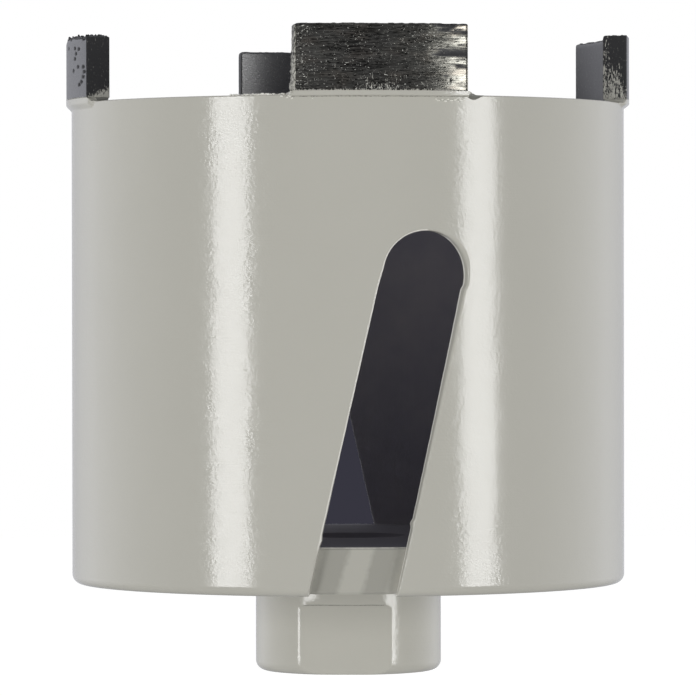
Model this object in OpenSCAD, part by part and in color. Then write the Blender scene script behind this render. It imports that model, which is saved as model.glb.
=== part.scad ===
// Diamond core bit for dry cutting of box and pipe holes in masonry.
// A thin steel barrel with two slanted dust slots is closed by a back plate, which carries a threaded hub.
// Diamond segments stand on the barrel's rim, each on a welded foot of plain metal.
// The bit stands on its hub: the origin is the middle of the hub's end face, +Z runs along the axis to
// the cutting end, and -Y is the front. All lengths are in millimetres.

/* [Cutting ring] */
// Diameter that the segments cut
cutting_d = 82; // [66:0.5:120]
// Number of segments round the rim
segment_count = 4; // [2:1:6]
// Distance between a segment's two parallel ends
segment_w = 24.3; // [12:0.1:30]
// Height of the diamond-bearing block above its foot
segment_h = 9.4; // [5:0.1:15]
// Rounding along the segment's two top edges
segment_edge_r = 0.4; // [0.1:0.05:1]
// Angle from the front to the middle of the first segment
segment_turn = 6.85; // [0:0.05:45]
// How far the segments stand out past the barrel
side_clearance = 0.8; // [0.4:0.05:1.5]
// How far the segments stand in past the barrel's bore
inner_clearance = 1.1; // [0.4:0.05:1.5]

/* [Segment feet] */
// Height of the diamond-free foot above the barrel's rim
foot_h = 0.55; // [0.3:0.05:2]
// How far the foot's full thickness reaches down over the barrel's wall
foot_drop = 0.05; // [0:0.05:2]
// Height over which the weld runs out to the wall below the foot
weld_run = 1.1; // [0.5:0.1:3]

/* [Barrel] */
// Length of the barrel
barrel_len = 69.5; // [60:0.5:200]
// Thickness of the barrel's wall
barrel_wall = 1.5; // [1.2:0.05:3]
// Rounding of the barrel's lower outer edge
barrel_edge_r = 1.35; // [0.3:0.05:1.65]

/* [Slots] */
// Number of slots round the barrel
slot_count = 2; // [1:1:4]
// Width of a slot, square to its length
slot_w = 12.2; // [6:0.1:16]
// Height of the slot's round end above the barrel's lower edge
slot_top = 50.7; // [25:0.1:55]
// Lean of the slot from the bit's axis
slot_lean = 13; // [0:0.5:25]
// Angle from the front to the slot's middle at the barrel's lower edge
slot_turn = 0.85; // [-45:0.05:45]

/* [Back plate] */
// Thickness of the back plate
plate_t = 6.5; // [3:0.1:12]
// Height of the plate's lower face above the barrel's lower edge
plate_inset = 0.3; // [0:0.05:2]
// Bevel round the plate's two outer edges
plate_bevel = 0.3; // [0.1:0.05:1]
// Radial gap of the pressed joints between barrel, plate and hub
press_gap = 0; // [0:0.01:0.1]

/* [Hub] */
// Outer diameter of the hub
hub_d = 27; // [24:0.5:40]
// Length of the hub below the barrel's lower edge
hub_len = 12.75; // [10:0.25:30]
// Rounding of the hub's lower edge
hub_edge_r = 1.5; // [0.3:0.05:2]
// Diameter of the spigot that goes up through the plate
spigot_d = 22; // [20:0.5:23.5]
// Nominal diameter of the internal thread
thread_d = 16; // [10:1:17]
// Pitch of the internal thread
thread_pitch = 2; // [1:0.25:3]
// How much wider than the thread the countersink at each end is
countersink = 0.8; // [0.2:0.1:2]

/* [Spanner flats] */
// Width across the two flats
flat_across = 23.6; // [21:0.1:26]
// Length of round hub left between the barrel's lower edge and the flats
flat_gap = 2.65; // [0.5:0.05:4]
// Rounding between a flat and its shoulder
flat_r = 0.7; // [0.3:0.05:2]
// Turn of the flats from square to the front
flat_turn = -1.5; // [-45:0.5:45]

/* [Hidden] */
$fn = 144;
paint_colour = "#b2b2a9";
segment_colour = "#3c3b39";
// What a cut reaches past the solid that it cuts
over = 1;
// Steps of a curve that is made of short straight lines
curve_steps = 10;
// Longest step along a slot's straight sides
slot_step = 3;
// Flat that the barrel's lower rounding always leaves at its bore
edge_land = 0.15;

// Barrel, in its own heights: 0 is its lower edge
cutting_r = cutting_d / 2;
barrel_r = cutting_r - side_clearance;
bore_r = barrel_r - barrel_wall;
segment_inner_r = bore_r - inner_clearance;
foot_low = barrel_len - foot_drop;
foot_top = barrel_len + foot_h;
segment_top = foot_top + segment_h;
barrel_round = min(barrel_edge_r, barrel_wall - edge_land);

// Slot, on the barrel's outer face unrolled flat
slot_half = slot_w / 2;
slot_reach = (slot_top - slot_half) / cos(slot_lean);
slot_start = -(slot_half * sin(slot_lean) + over) / cos(slot_lean);
slot_rows = ceil((slot_reach - slot_start) / slot_step);
// The cutter's flat outer facets stay outside the wall
slot_outer_r = barrel_r / cos(to_degrees(slot_half)) + over;
slot_inner_r = bore_r - over;

// Hub and plate, in the bit's own heights: 0 is the hub's end face
hub_r = hub_d / 2;
plate_low = hub_len + plate_inset;
plate_high = plate_low + plate_t;
plate_r = bore_r - press_gap;
spigot_r = spigot_d / 2;
tap_r = (thread_d - thread_pitch) / 2;
countersink_r = (thread_d + countersink) / 2;
countersink_depth = countersink_r - tap_r;
flat_top = hub_len - flat_gap;
flat_y = flat_across / 2;

// Angle that an arc length takes on the barrel's outer face
function to_degrees(arc) = arc / barrel_r * 180 / PI;

// Point on a slot's outline: along the slot's line and across it, as [angle, height]
function slot_point(along, across) = [
    to_degrees(along * sin(slot_lean) + across * cos(slot_lean)),
    along * cos(slot_lean) - across * sin(slot_lean)
];

// One side of a slot from below the barrel up to the round end's top, which is the last point on both sides
function slot_side(side) = concat(
    [for (i = [0:slot_rows - 1]) slot_point(slot_start + (slot_reach - slot_start) * i / slot_rows, side * slot_half)],
    [
        for (i = [0:curve_steps])
            let (turn = 90 * i / curve_steps)
            slot_point(slot_reach + slot_half * sin(turn), side * slot_half * cos(turn))
    ]
);

function backwards(list) = [for (i = [len(list) - 1:-1:0]) list[i]];

function first_part(list) = [for (i = [0:len(list) - 2]) list[i]];

// Point at a radius, and at [angle from the front, height]
function on_cylinder(radius, place) = [
    radius * sin(place[0]),
    -radius * cos(place[0]),
    place[1]
];

// Smooth weld surface from one radius at a height down to another radius, as a half cosine wave
function weld_curve(from_r, to_r, height) = [
    for (i = [0:curve_steps])
        let (t = i / curve_steps)
        [from_r + (to_r - from_r) * (1 - cos(180 * t)) / 2, height - weld_run * t]
];

// Cutter for one slot. Its walls stand square to the barrel's wall all round, so they point at the axis,
// as a saw or laser leaves them on a turning tube, and its sides climb along a helix.
module radial_slot() {
    outline = concat(slot_side(-1), backwards(first_part(slot_side(1))));
    count = len(outline);
    top = len(slot_side(-1)) - 1;
    points = concat(
        [for (place = outline) on_cylinder(slot_inner_r, place)],
        [for (place = outline) on_cylinder(slot_outer_r, place)]
    );
    // Triangles between a point on the left side, the next one up, and their partners on the right side
    cap = concat(
        [for (i = [0:top - 2]) [i, i + 1, 2 * top - i - 1]],
        [for (i = [0:top - 2]) [i, 2 * top - i - 1, 2 * top - i]],
        [[top - 1, top, top + 1]]
    );
    walls = [
        for (i = [0:count - 1])
            let (next = (i + 1) % count)
            each [[i, next, next + count], [i, next + count, i + count]]
    ];
    inner_cap = [for (f = cap) backwards(f)];
    outer_cap = [for (f = cap) [for (i = f) i + count]];
    polyhedron(points = points, faces = concat(inner_cap, outer_cap, walls));
}

// What a rounding takes off the lower outer corner of a turned profile, at its radius
module lower_corner(radius, rounding) {
    translate([radius - rounding, 0])
        difference() {
            translate([0, -over])
                square([rounding + over, rounding + over]);
            translate([0, rounding])
                circle(rounding);
        }
}

// What a rounding takes off an upper corner of a segment's profile: side is 1 outside and -1 inside
module upper_corner(radius, side) {
    translate([radius - side * segment_edge_r, segment_top - segment_edge_r])
        difference() {
            translate([side > 0 ? 0 : -segment_edge_r - over, 0])
                square(segment_edge_r + over);
            circle(segment_edge_r);
        }
}

// Turned block between two parallel planes, as far apart as a segment's ends, at segment number i
module between_ends(i) {
    rotate(segment_turn + (i - 1) * 360 / segment_count)
        intersection() {
            rotate_extrude()
                children();
            translate([-segment_w / 2, -cutting_r - over, 0])
                cube([segment_w, cutting_r, segment_top + over]);
        }
}

module barrel_tube() {
    color(paint_colour)
        translate([0, 0, hub_len])
            difference() {
                rotate_extrude()
                    difference() {
                        translate([bore_r, 0])
                            square([barrel_wall, barrel_len]);
                        lower_corner(barrel_r, barrel_round);
                    }
                for (i = [0:slot_count - 1])
                    rotate(slot_turn + i * 360 / slot_count)
                        radial_slot();
            }
}

module back_plate() {
    color(paint_colour)
        rotate_extrude()
            polygon([
                [spigot_r + press_gap, plate_low],
                [plate_r - plate_bevel, plate_low],
                [plate_r, plate_low + plate_bevel],
                [plate_r, plate_high - plate_bevel],
                [plate_r - plate_bevel, plate_high],
                [spigot_r + press_gap, plate_high]
            ]);
}

// Milled step of one spanner flat, with the cutter's rounded corner left at its shoulder
module flat_cut() {
    translate([-hub_r - over, 0, 0])
        rotate([90, 0, 90])
            linear_extrude(2 * (hub_r + over))
                difference() {
                    translate([-hub_r - over, -over])
                        square([hub_r + over - flat_y, flat_top + over]);
                    translate([-flat_y - flat_r, flat_top - flat_r])
                        difference() {
                            square(flat_r + over);
                            circle(flat_r);
                        }
                }
}

module threaded_hub() {
    color(paint_colour)
        difference() {
            rotate_extrude() {
                difference() {
                    square([hub_r, plate_low]);
                    lower_corner(hub_r, hub_edge_r);
                }
                square([spigot_r, plate_high]);
            }
            for (side = [0, 180])
                rotate(flat_turn + side)
                    flat_cut();
            translate([0, 0, -over])
                cylinder(r = tap_r, h = plate_high + 2 * over);
            cylinder(r1 = countersink_r, r2 = tap_r, h = countersink_depth);
            translate([0, 0, plate_high - countersink_depth])
                cylinder(r1 = tap_r, r2 = countersink_r, h = countersink_depth);
        }
}

module diamond_segment(i) {
    color(segment_colour)
        translate([0, 0, hub_len])
            between_ends(i)
                difference() {
                    translate([segment_inner_r, foot_top])
                        square([cutting_r - segment_inner_r, segment_h]);
                    upper_corner(cutting_r, 1);
                    upper_corner(segment_inner_r, -1);
                }
}

module segment_foot(i) {
    color(paint_colour)
        translate([0, 0, hub_len])
            between_ends(i)
                polygon(concat(
                    [[segment_inner_r, foot_top], [cutting_r, foot_top]],
                    weld_curve(cutting_r, barrel_r, foot_low),
                    [[barrel_r, barrel_len], [bore_r, barrel_len]],
                    backwards(weld_curve(segment_inner_r, bore_r, foot_low))
                ));
}

barrel_tube();
back_plate();
threaded_hub();
for (i = [1:segment_count]) {
    diamond_segment(i);
    segment_foot(i);
}
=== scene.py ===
"""Looks of the diamond core bit: its finished pieces, a plain studio and the photograph's viewpoint.

Lengths are in millimetres and angles in radians; add_piece() writes each mesh in metres.
A place on the bit is an angle from the front (-Y) towards +X, a radius and a height on the bit's axis.
A place on a segment or foot is how far it lies to the side of its middle, into its wall and up over its foot.
"""
import math
from typing import NamedTuple

import bpy
import numpy as np
from mathutils import Euler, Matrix, Vector, geometry, noise


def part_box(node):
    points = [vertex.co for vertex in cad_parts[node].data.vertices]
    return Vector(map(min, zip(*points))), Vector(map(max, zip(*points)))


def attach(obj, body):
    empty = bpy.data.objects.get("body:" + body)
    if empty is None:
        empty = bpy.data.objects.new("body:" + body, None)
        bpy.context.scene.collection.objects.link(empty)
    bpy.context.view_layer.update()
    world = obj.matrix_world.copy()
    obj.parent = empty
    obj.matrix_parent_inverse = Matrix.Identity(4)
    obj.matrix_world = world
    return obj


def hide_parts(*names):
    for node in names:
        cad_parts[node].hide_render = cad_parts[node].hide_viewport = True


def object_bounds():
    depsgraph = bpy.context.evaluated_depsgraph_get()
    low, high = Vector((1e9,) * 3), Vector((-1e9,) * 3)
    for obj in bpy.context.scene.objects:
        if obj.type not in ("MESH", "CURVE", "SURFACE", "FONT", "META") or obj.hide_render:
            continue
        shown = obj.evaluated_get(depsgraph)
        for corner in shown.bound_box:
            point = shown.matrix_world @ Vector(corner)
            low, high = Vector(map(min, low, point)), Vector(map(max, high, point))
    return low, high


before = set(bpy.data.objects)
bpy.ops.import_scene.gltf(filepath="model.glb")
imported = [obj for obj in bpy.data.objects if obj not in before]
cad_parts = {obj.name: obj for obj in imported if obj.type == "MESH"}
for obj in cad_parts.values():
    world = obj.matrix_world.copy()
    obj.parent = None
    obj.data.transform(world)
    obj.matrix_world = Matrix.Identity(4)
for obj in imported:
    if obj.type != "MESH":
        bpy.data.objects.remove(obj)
cad_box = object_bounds()

MM = 0.001

# Barrel and its slots, and how widely a slot's outer and inner edge are broken
LOWER_ROUNDING = 1.35
RIM_ROUNDING = 0.2
SLOT_COUNT = 2
SLOT_W = 12.2
SLOT_TOP = 50.7
SLOT_LEAN = math.radians(13)
SLOT_TURN = math.radians(0.85)
LIP = 0.32
INNER_LIP = 0.05

# Hub, with the roundings of its lower edge, of the flats' lower edge and of the step over them
HUB_ROUNDING = 1.5
FLAT_ROUNDING = 0.3
STEP_ROUNDING = 0.3
SPIGOT_R = 11.0
TAP_R = 7.0
THREAD_R = 8.0
THREAD_PITCH = 2.0
COUNTERSINK_R = 8.4
FLAT_Y = 11.85
FLAT_TOP = 10.1
FLAT_FILLET = 0.7
FLAT_TURN = math.radians(-1.5)

# Segments and their feet
SEGMENT_COUNT = 4
SEGMENT_W = 24.3
SEGMENT_TURN = math.radians(6.85)
SEGMENT_THICK = 3.4
FOOT_H = 0.55
FOOT_DROP = 0.05
WELD_RUN = 1.1

# Paint, its painted shade and painted highlight, and its colour where it is missing, also used as painted
# shade
PAINT = (0.474, 0.465, 0.416)
PAINT_DARKER = (0.447, 0.439, 0.392)
PAINTED_SHADE = (0.325, 0.320, 0.285)
PAINTED_HIGHLIGHT = (0.78, 0.77, 0.71)
BARE_METAL_AND_SHADE = (0.17, 0.17, 0.15)

# Steel inside the barrel and the hub: its plain colour and its stains
INSIDE = (0.330, 0.320, 0.370)
INSIDE_LIGHT = (0.400, 0.380, 0.410)
PLATE_INSIDE = (0.175, 0.168, 0.190)
THREAD_LIGHT = (0.200, 0.190, 0.210)

# Diamond metal: where it is ground, in its plain state and on its coarse faces, and its open grains
GROUND = (0.238, 0.234, 0.207)
GROUND_RUSTY = (0.25, 0.227, 0.192)
GROUND_DARK = (0.022, 0.022, 0.02)
SINTERED = (0.008, 0.008, 0.009)
SINTERED_LIGHT = (0.018, 0.017, 0.018)
SINTERED_COARSE = (0.004, 0.004, 0.005)
GRAIN = (0.62, 0.62, 0.57)


def box_mm(node):
    """Lowest and highest corner of a CAD node, in millimetres."""
    low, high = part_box(node)
    return np.array(low) / MM, np.array(high) / MM


BARREL_LOW, BARREL_HIGH = box_mm("barrel_tube")
PLATE_LOW, PLATE_HIGH = box_mm("back_plate")
HUB_HIGH = box_mm("threaded_hub")[1]
BARREL_R = BARREL_HIGH[0]
BARREL_BASE = BARREL_LOW[2]
BARREL_LEN = BARREL_HIGH[2] - BARREL_BASE
BORE_R = PLATE_HIGH[0]
PLATE_BASE, PLATE_TOP = PLATE_LOW[2], PLATE_HIGH[2]
HUB_R, HUB_TOP = HUB_HIGH[0], HUB_HIGH[2]
CUTTING_R = cad_box[1][0] / MM
RIM_Z = BARREL_HIGH[2]
FOOT_TOP = RIM_Z + FOOT_H
SEGMENT_H = box_mm("diamond_segment_1")[1][2] - FOOT_TOP
SEGMENT_HALF = SEGMENT_W / 2


def add_piece(name, points, faces, nodes, materials, corner_normals=None, face_materials=None,
              sharp=None):
    """Makes a mesh piece from points in millimetres; it rides on the bit and stands for CAD nodes."""
    mesh = bpy.data.meshes.new(name)
    mesh.from_pydata((np.array(points) * MM).tolist(), [], faces)
    mesh.shade_smooth()
    for material in materials:
        mesh.materials.append(material)
    if face_materials is not None:
        mesh.polygons.foreach_set("material_index", face_materials)
    if sharp is not None:
        mesh.set_sharp_from_angle(angle=sharp)
    if corner_normals is not None:
        mesh.normals_split_custom_set(corner_normals)
    mesh.update()
    piece = bpy.data.objects.new(name, mesh)
    bpy.context.scene.collection.objects.link(piece)
    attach(piece, "root")
    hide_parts(*nodes)
    return piece


def add_mask(piece, name, values):
    """Stores one value from 0 to 1 for each point, which the materials read by name."""
    mask = piece.data.attributes.new(name, "FLOAT", "POINT")
    mask.data.foreach_set("value", np.asarray(values, np.float32))


def wave(x, y, z, size):
    """Smooth noise from -1 to 1 with the given feature size."""
    return noise.noise(Vector((x / size, y / size, z / size)))


def chance(cells, seed):
    """A fixed value from 0 to 1 for each whole-number cell."""
    mixed = cells.astype(np.int64) @ np.array([73856093, 19349663, 83492791]) + seed * 40503
    mixed = (mixed ^ mixed >> 15) * 73244475 & 0xFFFFFFFF
    mixed = (mixed ^ mixed >> 16) * 73244475 & 0xFFFFFFFF
    return (mixed >> 8) % 65536 / 65536


def smooth_noise(points, size, seed):
    """Smooth noise from -1 to 1 at many points, with a feature size or one for each axis."""
    scaled = points / np.array(size)
    cell = np.floor(scaled)
    share = scaled - cell
    share = share * share * (3 - 2 * share)
    total = np.zeros(len(points))
    for corner in np.ndindex(2, 2, 2):
        weight = np.where(corner, share, 1 - share).prod(1)
        total += weight * chance(cell + corner, seed)
    return 2 * total - 1


def grains(points, size, share, reach, seed):
    """Height from 0 to 1 of round grains, which a share of the cells of a given size hold."""
    scaled = points / size
    cell = np.floor(scaled)
    height = np.zeros(len(points))
    for step in np.ndindex(3, 3, 3):
        near = cell + step - 1
        centre = near + np.stack([chance(near, seed + axis) for axis in range(3)], 1)
        radius = reach * (0.6 + 0.8 * chance(near, seed + 3))
        apart = np.linalg.norm(scaled - centre, axis=1) * size / radius
        here = chance(near, seed + 4) < share
        height = np.maximum(height, np.where(here, 1 - apart ** 2, 0))
    return height


def bell(value, middle, half):
    """Share that is 1 at a middle value and falls off over a half width to both sides."""
    return np.exp(-((value - middle) / half) ** 2)


# Materials


class Wire:
    """One output of a node; arithmetic with it adds the nodes that work it out."""

    def __init__(self, graph, socket):
        self.graph, self.socket = graph, socket

    def math(self, operation, other=0.0):
        return self.graph.node("Math", {0: self, 1: other}, operation=operation)

    def __mul__(self, other):
        return self.math("MULTIPLY", other)

    def __add__(self, other):
        return self.math("ADD", other)

    def __sub__(self, other):
        return self.math("SUBTRACT", other)

    def __rsub__(self, other):
        return self.graph.node("Math", {0: other, 1: self}, operation="SUBTRACT")

    def __gt__(self, other):
        return self.math("GREATER_THAN", other)

    def fit(self, low, high, to_low=0.0, to_high=1.0):
        """Value stretched from one range to another and held inside it."""
        inputs = dict(enumerate((self, low, high, to_low, to_high)))
        return self.graph.node("MapRange", inputs, clamp=True)

    def between(self, low, high):
        """The low value where this one is 0, and the high one where it is 1."""
        return self.fit(0.0, 1.0, low, high)


class Graph:
    """Short words for the nodes of one material or world."""

    def __init__(self, owner):
        owner.use_nodes = True
        self.tree = owner.node_tree
        self.tree.nodes.clear()

    def node(self, kind, inputs={}, output=0, **settings):
        """Adds a node with wires or values at its numbered or named inputs; gives one of its outputs."""
        made = self.tree.nodes.new("ShaderNode" + kind)
        for key, value in settings.items():
            setattr(made, key, value)
        for key, value in inputs.items():
            socket = made.inputs[key]
            if isinstance(value, Wire):
                self.tree.links.new(value.socket, socket)
            else:
                socket.default_value = (*value, 1.0) if socket.type == "RGBA" else value
        return Wire(self, made.outputs[output]) if made.outputs else None

    def place(self, stretch=(1, 1, 1)):
        """Position on the object in millimetres, times a stretch along each axis."""
        inputs = {0: self.node("TexCoord", output="Object"), 1: tuple(s / MM for s in stretch)}
        return self.node("VectorMath", inputs, operation="MULTIPLY")

    def part(self, vector, axis):
        return self.node("SeparateXYZ", {0: vector}, axis)

    def noise(self, scale, detail=2.0, rough=0.5):
        """Noise with a number of features in a millimetre, in every direction or along each axis."""
        stretch, scale = (scale, 1.0) if isinstance(scale, tuple) else ((1, 1, 1), scale)
        inputs = {"Vector": self.place(stretch), "Scale": scale, "Detail": detail, "Roughness": rough}
        return self.node("TexNoise", inputs)

    def cells(self, stretch, scale):
        """Distance to the nearest cell centre, and a random value for each cell."""
        inputs = {"Vector": self.place(stretch), "Scale": scale}
        lot = self.part(self.node("TexVoronoi", inputs, "Color"), 1)
        return self.node("TexVoronoi", inputs, "Distance"), lot

    def mask(self, name):
        return self.node("Attribute", output="Fac", attribute_name=name)

    def blend(self, share, a, b):
        """Colour a, or b where share is 1."""
        return self.node("Mix", {0: share, 6: a, 7: b}, 2, data_type="RGBA")

    def bump(self, height, depth, below=None):
        """Bump whose height of 1 is a depth in millimetres."""
        inputs = {"Distance": depth * MM, "Height": height}
        if below is not None:
            inputs["Normal"] = below
        return self.node("Bump", inputs)

    def surface(self, colour, rough, normal, **others):
        """Principled surface; the other values are set on its own sockets."""
        inputs = {"Base Color": colour, "Roughness": rough, "Normal": normal}
        inputs |= {key.replace("_", " "): value for key, value in others.items()}
        self.node("OutputMaterial", {"Surface": self.node("BsdfPrincipled", inputs)})


def new_material(name):
    material = bpy.data.materials.new(name)
    return material, Graph(material)


def paint_bump(graph):
    """Small specks on the sprayed paint's orange peel, over faint turning lines and a slow unevenness."""
    lines = graph.noise((0.09, 0.09, 4.5), 1.0) * graph.noise(0.10, 1.0).fit(0.5, 0.62)
    slow = graph.bump(graph.noise(0.16, 1.0), 0.05, graph.bump(lines, 0.012))
    calm = graph.noise(0.14, 1.0).fit(0.35, 0.65, 0.55, 1.0)
    peel = graph.bump(graph.noise(1.9, 1.0) * calm, 0.018, slow)
    specks = graph.noise(2.6, 1.0).fit(0.57, 0.70)
    return graph.bump(specks, 0.0028, peel)


def paint_colour(graph):
    """Paint a little darker in slow patches, lighter where a highlight is painted, dark where bare or shade
    is painted.
    """
    patch = graph.noise(0.08, 3.0, 0.6).fit(0.3, 0.7)
    plain = graph.blend(patch * 0.35, PAINT, PAINT_DARKER)
    # Painted highlight: lighter paint where the edge mask is set, on slot edges and spatter crumbs
    highlighted = graph.blend(graph.mask("edge"), plain, PAINTED_HIGHLIGHT)
    ragged = graph.noise(2.6, 2.0, 0.7).fit(0.3, 0.7, -0.3, 0.3)
    # The bare mask marks bare metal, and also painted shade: dark lines in the crease under the flats' step
    # and under the front foot
    bare = (graph.mask("bare") + ragged).fit(0.42, 0.58)
    return graph.blend(bare, highlighted, BARE_METAL_AND_SHADE)


def make_paint():
    material, graph = new_material("grey_paint")
    rough = graph.noise(0.9).fit(0.3, 0.7, 0.11, 0.17)
    graph.surface(paint_colour(graph), rough, paint_bump(graph), IOR=1.45)
    return material


def make_inside(name, dark, light, rough=0.3, shine=0.3):
    """Dark bare steel of a bore: drawn lines along the tube and a thin oil film."""
    material, graph = new_material(name)
    stains = graph.noise(0.09, 3.0, 0.6).fit(0.35, 0.7)
    drawn = graph.noise((2.5, 2.5, 0.06))
    colour = graph.blend(stains, dark, light)
    rough = drawn.fit(0.3, 0.7, rough, rough + 0.15)
    graph.surface(colour, rough, graph.bump(drawn, 0.01), Specular_IOR_Level=shine)
    return material


# Painted shade on the plate's rim, darker to both sides of this band beside the slot's walls: the band's
# sideways places at a height in the rim's middle, and how far it moves sideways for each millimetre upwards
SHADE_GAP_LOW, SHADE_GAP_HIGH, SHADE_GAP_MIDDLE, SHADE_GAP_LEAN = -0.67, 2.71, 16.2, 0.30


def make_plate_paint_and_shade():
    """Paint on the plate's rim and underside, with painted shade and a painted highlight; bare steel inside.
    """
    material, graph = new_material("plate_paint_and_shade")
    x, y, z = (graph.part(graph.place(), axis) for axis in range(3))
    off_axis = graph.node("VectorMath", {0: graph.place((1, 1, 0))}, "Value", operation="LENGTH")
    reach = off_axis + graph.noise(2.0)
    bare = (z > PLATE_TOP - 0.03) * reach.fit(BORE_R - 0.1, BORE_R + 0.1, 1.0, 0.0)
    facing = (y * -1.0).math("SIGN")
    ragged = graph.noise(1.2).fit(0.0, 1.0, -0.4, 0.4)
    across = x * facing - (z - SHADE_GAP_MIDDLE) * SHADE_GAP_LEAN + ragged
    # Painted shade: darker beside the slot's walls outside the band; right at the walls painted light offsets
    # the shade there
    left = across.fit(SHADE_GAP_LOW - 0.4, SHADE_GAP_LOW + 0.4)
    right = across.fit(SHADE_GAP_HIGH - 0.4, SHADE_GAP_HIGH + 0.4, 1.0, 0.0)
    painted_light_at_walls = (across - 1.0).math("ABSOLUTE").fit(4.6, 6.4)
    rim = graph.blend(left * right * 0.7, graph.blend(painted_light_at_walls, PAINTED_SHADE, PAINT), paint_colour(graph))
    # Painted highlight along the top bevel
    at_bevel = z.fit(PLATE_TOP - 0.2, PLATE_TOP - 0.1, 0.0, 0.6)
    rim = graph.blend(at_bevel * ragged.fit(-0.1, 0.1, 0.4, 1.0), rim, PAINTED_HIGHLIGHT)
    colour = graph.blend(bare, rim, PLATE_INSIDE)
    graph.surface(colour, bare.between(0.25, 0.8), paint_bump(graph), Specular_IOR_Level=0.15)
    return material


def make_diamond_metal():
    """Dark sintered metal ground along the cut, with open grit and paint sprayed over its foot."""
    material, graph = new_material("diamond_metal")
    coarse = graph.mask("coarse")
    streaks = graph.noise((0.35, 0.35, 6.5), 2.0, 0.6)
    fine = graph.noise((1.6, 1.6, 10.0), 2.0, 0.6)
    broad = graph.noise((0.14, 0.14, 0.6))
    lined = streaks * 0.55 + fine * 0.45
    tone = (lined + broad.fit(0.3, 0.7, -0.05, 0.05)).fit(0.36, 0.66)
    ground = (graph.mask("ground") + streaks.fit(0.3, 0.7, -0.35, 0.35)).fit(0.35, 0.65)
    # Some cells of the ground face are torn out
    from_centre, lot = graph.cells((1.0, 1.0, 2.6), 1.3)
    torn = (lot > 0.72) * from_centre.fit(0.24, 0.34, 1.0, 0.0)
    tone = tone * torn.between(1.0, 0.0)
    rusty = graph.noise((0.25, 0.25, 0.7)).fit(0.48, 0.66, 0.0, 0.8)
    shine = graph.blend(tone, GROUND_DARK, graph.blend(rusty, GROUND, GROUND_RUSTY))
    dull = graph.noise(0.9, 3.0, 0.6).fit(0.3, 0.7)
    plain = graph.blend(coarse, graph.blend(dull, SINTERED, SINTERED_LIGHT), SINTERED_COARSE)
    grit = graph.noise((2.6, 2.6, 4.2), 2.0, 0.75) + graph.mask("open")
    grain = grit.fit(0.665, 0.73) * ground.between(0.12, 1.0)
    metal = graph.blend(grain, graph.blend(ground, plain, shine), GRAIN)
    speckle = graph.noise((6.5, 6.5, 2.0), 2.0, 0.7).fit(0.3, 0.7, -0.5, 0.5)
    painted = (graph.mask("overspray") + speckle).fit(0.42, 0.64)
    colour = graph.blend(painted, metal, paint_colour(graph))
    rough = fine.fit(0.3, 0.7, ground.between(0.26, 0.15), ground.between(0.34, 0.26))
    rough = painted.between(coarse.between(rough, 0.8), 0.5)
    lines = graph.bump(lined * ground, 0.02)
    grainy = graph.bump(graph.noise(3.0, 3.0, 0.65) * coarse.between(0.06, 1.0), 0.03, lines)
    bare = 1.0 - painted.math("MAXIMUM", grain)
    graph.surface(colour, rough, graph.bump(painted, 0.05, grainy), IOR=1.75, Metallic=ground * bare)
    return material


# Barrel

LEAN_SIN, LEAN_COS = math.sin(SLOT_LEAN), math.cos(SLOT_LEAN)
SLOT_HALF = SLOT_W / 2
SLOT_REACH = (SLOT_TOP - SLOT_HALF) / LEAN_COS
# Steps over the lower rounding, a slot's side, its round end, and its broken outer and inner edge
ROUND_STEPS, SIDE_STEPS, ARC_STEPS, LIP_STEPS, INNER_STEPS = 8, 60, 56, 5, 2
# Small faults of the slot's edge: side (-1 left, 1 right), height, how far it stands in, half length
SLOT_FAULTS = (
    (1, 10.9, 0.28, 0.25),
    (-1, 8.0, 0.24, 0.25),
)
# The front slot's round end stands a little to the right and is a little wider: how far, and over what
# length its left and right side run out to it
END_SHIFT = 0.2
END_GROWTH = 0.04
END_RUN = {-1: 3.0, 1: 0.8}
# The round end's edge is broken more widely on its right shoulder, where the drill ran twice
WIDE_LIP = 0.3
WIDE_LIP_AT = math.radians(130)
WIDE_LIP_HALF = math.radians(26)
# Height over the barrel's lower edge from which a highlight is painted along a slot's edge
HIGHLIGHT_FROM, HIGHLIGHT_RUN = 6.0, 1.5


def on_barrel(radius, arc, height):
    """Point over a place on the unrolled outer face: arc from the front and height above the lower edge."""
    angle = arc / BARREL_R
    return radius * math.sin(angle), -radius * math.cos(angle), BARREL_BASE + height


def turned(outward, along, arc):
    """Normal with an outward, a sideways and an upward share, at an arc from the front."""
    angle = arc / BARREL_R
    side, up = along
    x = outward * math.sin(angle) + side * math.cos(angle)
    y = -outward * math.cos(angle) + side * math.sin(angle)
    return Vector((x, y, up)).normalized()


def level_share(slope):
    """Level share of a unit vector with an upward share."""
    return math.sqrt(max(0, 1 - slope * slope))


def outer_wall(height):
    """Radius of the outer face and the upward slope of its normal."""
    if height < LOWER_ROUNDING:
        slope = (LOWER_ROUNDING - height) / LOWER_ROUNDING
        return BARREL_R - LOWER_ROUNDING * (1 - level_share(slope)), -slope
    if height > BARREL_LEN - RIM_ROUNDING:
        slope = (height - BARREL_LEN + RIM_ROUNDING) / RIM_ROUNDING
        return BARREL_R - RIM_ROUNDING * (1 - level_share(slope)), slope
    return BARREL_R, 0.0


def outer_normal(place):
    slope = outer_wall(place[1])[1]
    return turned(level_share(slope), (0, slope), place[0])


def inner_normal(place):
    return turned(-1, (0, 0), place[0])


def slot_start(slot):
    """Arc at which a slot's middle line leaves the lower edge."""
    return (SLOT_TURN + slot * 2 * math.pi / SLOT_COUNT) * BARREL_R


def slot_place(along, across, slot):
    """Arc and height of a point given along and across a slot's middle line."""
    arc = along * LEAN_SIN + across * LEAN_COS
    return slot_start(slot) + arc, along * LEAN_COS - across * LEAN_SIN


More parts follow.
